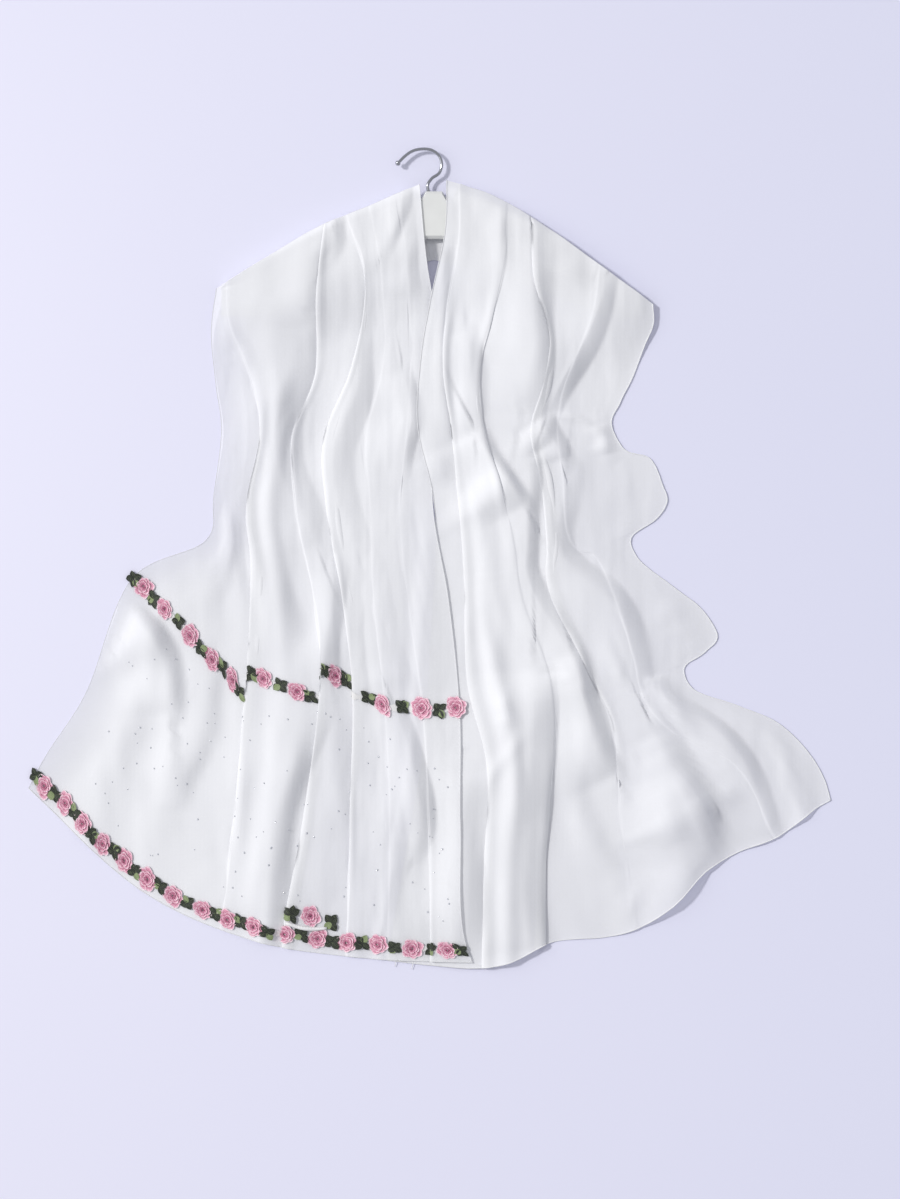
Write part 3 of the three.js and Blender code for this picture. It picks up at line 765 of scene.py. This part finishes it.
def chiffon_material(name, colour, least):
    """Sheer cloth, as opaque as the attribute cover says but at least as much as least."""
    n = Nodes(name)
    cover = n.add("ShaderNodeAttribute", attribute_name="cover").outputs["Fac"]
    cloud = n.texture("ShaderNodeTexNoise", Scale=9.0, Detail=3.0, Roughness=0.5)
    drift = n.math("MULTIPLY", n.math("SUBTRACT", cloud, 0.5), 0.12)
    opaque = n.math("MAXIMUM", n.math("ADD", cover, drift), least)
    darker = rgb(*(c * 0.975 for c in colour))
    tint = n.mix(n.math("MULTIPLY", cloud, 0.6), rgb(*colour), darker)
    n.shade(Base_Color=tint, Alpha=n.math("MINIMUM", opaque, 0.985), Roughness=0.86,
            Specular_IOR_Level=0.25, Sheen_Weight=0.35, Sheen_Roughness=0.4)
    n.bump(weave(n), 0.18, 0.0002)
    return n.material


def lace_material(name, low, high, flecks=0.7, middle=None):
    """Embroidery from dark to light by the attribute tone, broken by stitches and flecks."""
    n = Nodes(name)
    tone = n.add("ShaderNodeAttribute", attribute_name="tone").outputs["Fac"]
    stitch = n.texture("ShaderNodeTexWave", wave_type="BANDS", bands_direction="DIAGONAL",
                       Scale=260.0, Distortion=6.0)
    fleck = n.texture("ShaderNodeTexNoise", Scale=700.0, Detail=2.0)
    by_fleck = n.math("MULTIPLY", n.math("SUBTRACT", fleck, 0.5), flecks)
    by_stitch = n.math("MULTIPLY", n.math("SUBTRACT", stitch, 0.5), 0.22)
    ramp = n.add("ShaderNodeValToRGB")
    ramp.color_ramp.elements[0].color = rgb(*low)
    ramp.color_ramp.elements[1].color = rgb(*high)
    if middle:
        ramp.color_ramp.elements.new(0.66).color = rgb(*middle)
    n.link(n.math("ADD", n.math("ADD", tone, by_fleck), by_stitch), ramp.inputs["Fac"])
    n.shade(Base_Color=ramp.outputs["Color"], Roughness=0.62, Sheen_Weight=0.2)
    n.bump(n.math("ADD", stitch, fleck), 0.6, 0.0003)
    return n.material


def hard_material(name, colour, rough, metal, grain, bump_by):
    """Plastic, metal or glass with a fine grain in its colour, shine and surface."""
    n = Nodes(name)
    spots = n.texture("ShaderNodeTexNoise", Scale=grain, Detail=4.0)
    tint = n.mix(spots, rgb(*colour), rgb(*(c * 0.9 for c in colour)))
    uneven = n.math("ADD", n.math("MULTIPLY", spots, 0.14), rough - 0.07)
    n.shade(Base_Color=tint, Roughness=uneven, Metallic=metal)
    n.bump(spots, 0.15, bump_by)
    return n.material


CHIFFON = chiffon_material("chiffon", (0.875, 0.882, 0.905), 0.3)
HEM = chiffon_material("rolled_hem", (0.90, 0.905, 0.915), 0.6)
PINK = lace_material("rose_thread", (0.25, 0.018, 0.085), (0.95, 0.82, 0.86), 0.95, (0.83, 0.40, 0.53))
GREEN = lace_material("leaf_thread", (0.005, 0.008, 0.007), (0.30, 0.38, 0.18), 0.35)
NET = lace_material("lace_ground", (0.74, 0.73, 0.72), (0.86, 0.86, 0.86))
CRYSTAL = hard_material("crystal", (0.68, 0.70, 0.75), 0.12, 0.35, 900.0, 0.0001)
PLASTIC = hard_material("hanger_plastic", (0.80, 0.81, 0.79), 0.38, 0.0, 60.0, 0.0004)
CHROME = hard_material("hook_chrome", (0.44, 0.45, 0.48), 0.16, 1.0, 220.0, 0.0001)


# ------------------------ sheets
STEP = 4.0
left_cloth = Cloth(LEFT, 1.0, STEP, 0)
right_cloth = Cloth(RIGHT, 5.0, STEP, -1)


def sheet_object(name, cloth):
    """The cloth as a sheet, which looks more opaque where it is steep."""
    rows, cols = cloth.points.shape[:2]
    obj = new_object(name, framed(cloth.points), grid_faces(rows, cols), CHIFFON)
    attribute(obj, "cover", 1 - (1 - np.clip(cloth.cover, 0, 0.97)) ** cloth.slope)
    return obj


def hem_object(name, cloth, radii, cover):
    """Rolled hem along the cloth's left, right and lower edges, with a radius for each."""
    batch = Batch()
    edges = (cloth.points[:, 0], cloth.points[:, -1], cloth.points[-1])
    for line, radius in zip(edges, radii):
        pts = np.array(line)
        pts[:, 2] = np.maximum(pts[:, 2] + 0.35, 0.9)
        batch.add(*tube(pts, radius * (1 + 0.16 * np.sin(np.arange(len(pts)) * 1.9)), 6), 1.0)
    obj = new_object(name, framed(batch.verts), batch.faces, HEM)
    attribute(obj, "cover", np.full(len(batch.verts), cover))
    return obj


def back_sheet():
    """The stretch behind the hanger: it rises over the arms to meet the two ends in front."""
    top = np.vstack([left_cloth.points[0], right_cloth.points[0]])
    top = top[np.argsort(top[:, 0])]
    rows = [[] for _ in range(8)]
    for x in np.linspace(-BACK_END, BACK_END, 157):
        across = abs(x)
        middle, half = through(ARM_X, ARM_MIDDLE, across), through(ARM_X, ARM_HALF, across)
        past_neck, to_end = smooth((across - 20) / 8), smooth((BACK_END - across) / 8)
        front_y, front_z = np.interp(x, top[:, 0], top[:, 1]), np.interp(x, top[:, 0], top[:, 2])
        high = (middle + half + 4) * (1 - past_neck) + front_y * past_neck
        wrap = [(0.1, -0.5), (0.9, -2.2), (1.3, -0.5 * front_z), (1.2, 1.4 - front_z)]
        for row, (out, drop) in zip(rows, wrap):
            rise = max(0.0, front_z - BACK_LOW + drop) * past_neck * to_end
            row.append((x, high + (out * to_end - 1.5 * (1 - to_end)) * past_neck, BACK_LOW + rise))
        low = middle - half - 24
        for row, share in zip(rows[4:], (0.03, 0.3, 0.65, 1)):
            wave = 0.3 * math.sin(x / 9 + 3 * share)
            row.append((x, high + (low - high) * share, BACK_LOW + wave))
    grid = np.array(rows)
    obj = new_object("back_stretch_cloth", framed(grid), grid_faces(*grid.shape[:2]), CHIFFON)
    attribute(obj, "cover", np.full(grid.shape[0] * grid.shape[1], 0.9))
    return obj


left_sheet = sheet_object("left_stretch_cloth", left_cloth)
right_sheet = sheet_object("right_stretch_cloth", right_cloth)
left_hem = hem_object("left_stretch_hem", left_cloth, (0.3, 0.32, 0.45), 0.7)
right_hem = hem_object("right_stretch_hem", right_cloth, (0.4, 0.55, 0.55), 0.85)
back = back_sheet()


# ------------------------ lace
class LaceRow:
    """Maps places on a flat strip onto the cloth, round the row at distance v."""

    def __init__(self, cloth, v):
        self.points, _, self.length = cloth.row_at(v)
        self.lines = {k: cloth.row_at(np.clip(v + k, 0, LENGTH)) for k in range(-18, 19, 2)}
        self.shown = cloth.shown[int(round(v / LENGTH * cloth.steps))]

    def place_of(self, x):
        """Length along the row of the topmost shown point with this x."""
        best, found = -1e9, 0.0
        for j in range(len(self.points) - 1):
            a, b = self.points[j], self.points[j + 1]
            if (a[0] - x) * (b[0] - x) <= 0 and abs(b[0] - a[0]) > 1e-6 and self.shown[j] > 0.5:
                t = (x - a[0]) / (b[0] - a[0])
                z = a[2] + (b[2] - a[2]) * t
                if z > best:
                    best, found = z, self.length[j] + t * (self.length[j + 1] - self.length[j])
        return found

    def on_cloth(self, s, down, up):
        """Drawn point at length s along the row, down the cloth by down and up off it by up."""
        k = max(-18, min(16, 2 * math.floor(down / 2)))
        t = min(1.0, max(0.0, (down - k) / 2))
        j = int(np.clip(np.searchsorted(self.length, s) - 1, 0, len(self.length) - 2))
        w = (s - self.length[j]) / max(self.length[j + 1] - self.length[j], 1e-6)
        out = np.zeros(3)
        normal = np.zeros(3)
        for key, share in ((k, 1 - t), (k + 2, t)):
            points, around, _ = self.lines[key]
            out += share * (points[j] * (1 - w) + points[j + 1] * w)
            normal += share * (around[j] * (1 - w) + around[j + 1] * w)
        out += normal / np.linalg.norm(normal) * up
        out[2] = max(out[2], LACE_LEAST)
        return out


def petal(row, s, down, turn, reach, wide, base, curl):
    """A petal from a flower's heart: a small cupped grid with a light rim."""
    verts, tones = [], []
    rows, cols = 5, 5
    for i in range(rows):
        along = i / (rows - 1)
        for j in range(cols):
            across = 2 * j / (cols - 1) - 1
            out = reach * (0.18 + 0.82 * along) * (1 - 0.16 * across * across * along)
            side = wide * across * math.sin(math.pi * (0.16 + 0.62 * along))
            x = out * math.cos(turn) - side * math.sin(turn)
            y = out * math.sin(turn) + side * math.cos(turn)
            z = base + curl * (along**1.5) + 0.35 * abs(across) * along
            verts.append(row.on_cloth(s + x, down + y, z))
            rim = max(along**3, abs(across) ** 3 * (0.4 + 0.6 * along))
            tones.append(0.16 + 0.72 * rim + 0.12 * along)
    return verts, grid_faces(rows, cols), tones


def rose(batch, row, s, down, size, seed):
    """Three rings of petals, each higher and smaller, and a dark heart."""
    rnd = random.Random(seed)
    spin = rnd.uniform(0, 2 * math.pi)
    rings = [(7, 1.0, 0.44, 0.9, 0.7), (5, 0.74, 0.36, 1.5, 0.8), (4, 0.46, 0.27, 2.1, 0.7)]
    for ring, (count, reach, wide, base, curl) in enumerate(rings):
        for k in range(count):
            turn = spin + 2 * math.pi * (k + 0.5 * ring) / count + rnd.uniform(-0.12, 0.12)
            grow = size * rnd.uniform(0.86, 1.12)
            batch.add(*petal(row, s, down, turn, reach * grow, wide * grow, base, curl))
    verts, faces, tones = petal(row, s, down, spin, 0.22 * size, 0.2 * size, 2.9, 0.2)
    batch.add(verts, faces, [tone * 0.4 for tone in tones])


def leaf(batch, row, s, down, turn, reach, wide, base, light):
    """A leaf from a point, with raised edges and a faint vein."""
    verts, tones = [], []
    rows, cols = 6, 5
    for i in range(rows):
        along = i / (rows - 1)
        for j in range(cols):
            across = 2 * j / (cols - 1) - 1
            side = wide * across * math.sin(math.pi * min(1, 0.08 + 0.92 * along)) ** 0.8
            x = reach * along * math.cos(turn) - side * math.sin(turn)
            y = reach * along * math.sin(turn) + side * math.cos(turn)
            z = base + 0.7 * math.sin(math.pi * along) + 0.45 * abs(across)
            verts.append(row.on_cloth(s + x, down + y, z))
            rim = 0.06 if abs(across) > 0.9 else 0
            tones.append(light + 0.12 * (1 - abs(across)) ** 3 + rim)
    batch.add(verts, grid_faces(rows, cols), tones)


def cluster(green, row, s, down, seed, bright):
    """Five leaves round a point, of which number bright is light."""
    rnd = random.Random(seed)
    for number, turn in enumerate((0.75, 2.35, 3.9, 5.45, rnd.uniform(0, 6))):
        leaf(green, row, s, down, turn + rnd.uniform(-0.3, 0.3), rnd.uniform(8.5, 11.5),
             rnd.uniform(3.3, 4.4), 0.9 + rnd.uniform(0, 0.5), 0.75 if number == bright else 0.0)


def ground(batch, row, start, end, seed):
    """The net that carries the flowers, along the whole strip."""
    rnd = random.Random(seed)
    count = max(2, int((end - start) / 2.5))
    verts = []
    for i in range(count + 1):
        s = start + (end - start) * i / count
        wide = 3.2 + 1.0 * math.sin(i * 0.9) + rnd.uniform(-0.3, 0.3)
        verts.extend(row.on_cloth(s, across * wide, 0.75) for across in (-1, 0, 1))
    batch.add(verts, grid_faces(count + 1, 3), 0.5)


def lace_row(prefix, row, roses, number, leaves_after, extra=None):
    """Roses at their places, leaves between them, before and perhaps after, and the net below."""
    pink, green, net = Batch(), Batch(), Batch()
    places = [row.place_of(x) for x in roses]
    for k, s in enumerate(places):
        rnd = random.Random(41 * k + number)
        rose(pink, row, s, rnd.uniform(-1.6, 1.6), rnd.uniform(11.8, 13.2), 100 * number + k)
    ends = [places[0] - 28] + places + [places[-1] + 28] * leaves_after
    for k, (a, b) in enumerate(zip(ends, ends[1:])):
        gap = b - a
        count = 1 if gap < 52 else int(gap // 26)
        for i in range(count):
            s = a + gap * ((i + 0.5) / count)
            cluster(green, row, s, 2 * math.sin(9 * k + i), 17 * k + i + 90 * number, k % 5)
    ground(net, row, max(3.0, ends[0] - 4), min(row.length[-1] - 3, ends[-1] + 4), number)
    if extra:
        extra(pink, green, net)
    return [pink.make(prefix + "_roses", PINK), green.make(prefix + "_leaves", GREEN),
            net.make(prefix + "_net", NET)]


def loop_and_threads(pink, green, net):
    """Where the lace doubles back in a small roll, and two loose thread ends at the hem."""
    row = LaceRow(left_cloth, LOOP_ROW)
    rose(pink, row, row.place_of(LOOP_ROSE), -2, 11.5, 5)
    for x, down in LOOP_LEAVES:
        cluster(green, row, row.place_of(x), down, int(x) + 700, 1)
    start, end = (row.place_of(x) for x in LOOP_ROLL)
    roll = [
        row.on_cloth(start + (end - start) * t, 9 + 3 * math.sin(math.pi * t), 2.6)
        for t in np.linspace(0, 1, 14)
    ]
    net.add(*tube(roll, 1.2 + 1.1 * np.sin(np.linspace(0.25, 2.9, 14)), 10), 1.0)
    for x, y in THREADS:
        thread = [
            (x + 1.5 * math.sin(2.2 * t + x), y - 13 * t, 1.2 + 0.8 * math.sin(3 * t))
            for t in np.linspace(0, 1, 9)
        ]
        net.add(*tube(thread, 0.35, 6), 0.6)


upper = lace_row("upper_trim", LaceRow(left_cloth, UPPER_LACE), UPPER_ROSES, 1, False)
lower = lace_row("lower_trim", LaceRow(left_cloth, LOWER_LACE), LOWER_ROSES, 2, True, loop_and_threads)


# ------------------------ sewn stones
def crystals():
    """Small eight-sided stones at random places between the two lace rows."""
    batch = Batch()
    rnd = random.Random(9)
    angles = np.arange(8) * math.pi / 4
    stone = [(0, 0, 1.15)]
    stone += [(1.35 * math.cos(a), 1.35 * math.sin(a), 0.35) for a in angles]
    stone += [(1.1 * math.cos(a), 1.1 * math.sin(a), 0.0) for a in angles]
    faces = [(0, 1 + k, 1 + (k + 1) % 8) for k in range(8)]
    faces += [(1 + k, 9 + k, 9 + (k + 1) % 8, 1 + (k + 1) % 8) for k in range(8)]
    for _ in range(STONES):
        row = LaceRow(left_cloth, rnd.uniform(STONES_FROM, STONES_TO))
        left, right = row.points[0, 0] + 22, row.points[-1, 0] - 12
        s = row.place_of(left + (right - left) * rnd.random() ** 0.85)
        size = rnd.uniform(0.45, 0.85)
        verts = [row.on_cloth(s + x * size, y * size, z * size + 0.15) for x, y, z in stone]
        batch.add(verts, faces, rnd.random())
    return batch.make("crystals", CRYSTAL)


stones = crystals()


# ------------------------ hanger and hook
def hook():
    """Bent wire with a round tip, in place of the plain solid."""
    line = [
        (-6, NECK_TOP + 0.3), (-7, 412), (-3, 419), (6, 426), (8.5, 435), (6, 444), (-2, 450.5),
        (-13, 452), (-24, 449.5), (-32, 444), (-38, 438),
    ]
    path = finer([(x, y, WIRE_Z) for x, y in line], 10)
    way = path[-1] - path[-2]
    way /= np.linalg.norm(way)
    tip = [(0.4, 2.2), (1.2, 2.8), (2.3, 3.05), (3.4, 2.8), (4.3, 2.1), (4.9, 1.1), (5.1, 0.3)]
    radii = np.concatenate([np.full(len(path), WIRE), column(tip, 1)])
    path = np.vstack([path] + [path[-1] + way * further for further, _ in tip])
    verts, faces = tube(path, radii, 20)
    return new_object("hook_wire", framed(verts), faces, CHROME)


hook_wire = hook()
for material_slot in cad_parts["hanger_body"].material_slots:
    material_slot.material = PLASTIC


# ------------------------ declarations
pieces = [left_sheet, right_sheet, back, left_hem, right_hem, stones, hook_wire, *upper, *lower]
for piece in pieces:
    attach(piece, "root")
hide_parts("left_stretch")
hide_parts("right_stretch")
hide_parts("back_stretch")
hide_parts("upper_trim")
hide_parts("lower_trim")
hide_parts("hanger_hook")


# ------------------------ surface, light and camera
def floor():
    """Lilac paper of uneven tone, with painted light that makes it a little lighter to the left."""
    n = Nodes("lilac_paper")
    cloud = n.texture("ShaderNodeTexNoise", Scale=1.1, Detail=2.0)
    split = n.add("ShaderNodeSeparateXYZ")
    n.link(n.place, split.inputs[0])
    # Painted light: the paper's colour grows lighter to the left, the side the window light comes from.
    painted_light_leftwards = n.math("MULTIPLY", split.outputs["X"], -0.75)
    across = n.math("ADD", painted_light_leftwards, n.math("MULTIPLY", cloud, 0.5))
    # This mix carries the painted light towards the left together with the paper's uneven tone.
    tint = n.mix(n.math("ADD", across, 0.3), rgb(0.72, 0.73, 0.88), rgb(0.79, 0.785, 0.915))
    n.shade(Base_Color=tint, Roughness=0.9)
    corners = [(-1, -1), (1, -1), (1, 1), (-1, 1)]
    verts = [(x * FLOOR_HALF, y * FLOOR_HALF, FLOOR_Z) for x, y in corners]
    surface = new_object("surface", verts, [(0, 1, 2, 3)], n.material)


floor()
scene = bpy.context.scene
scene.view_settings.view_transform = "Standard"
world = bpy.data.worlds.new("room")
world.use_nodes = True
world.node_tree.nodes["Background"].inputs["Color"].default_value = (0.93, 0.94, 1.0, 1)
world.node_tree.nodes["Background"].inputs["Strength"].default_value = 0.535
scene.world = world

sun = bpy.data.lights.new("window", "SUN")
sun.energy = 1.88
sun.angle = math.radians(7)
sun.color = (1.0, 0.985, 0.965)
sun_object = bpy.data.objects.new("window", sun)
sun_object.rotation_euler = SUN_FROM.to_track_quat("Z", "Y").to_euler()
scene.collection.objects.link(sun_object)

glow = bpy.data.lights.new("window_glow", "AREA")
glow.energy = 4.6
glow.size = 1.0
glow_object = bpy.data.objects.new("window_glow", glow)
glow_object.location = GLOW_AT
glow_object.rotation_euler = GLOW_AT.to_track_quat("Z", "Y").to_euler()
scene.collection.objects.link(glow_object)

camera = bpy.data.cameras.new("overhead")
camera.sensor_fit = "VERTICAL"
camera.sensor_height = SENSOR
camera.lens = SENSOR * CAMERA_Z / VIEW_HEIGHT
camera_object = bpy.data.objects.new("overhead", camera)
camera_object.location = (CAMERA_X / 1000 + SHIFT_X, CAMERA_Y / 1000 + SHIFT_Y, CAMERA_Z)
camera_object.rotation_euler = (0, 0, 0)
scene.collection.objects.link(camera_object)
scene.camera = camera_object
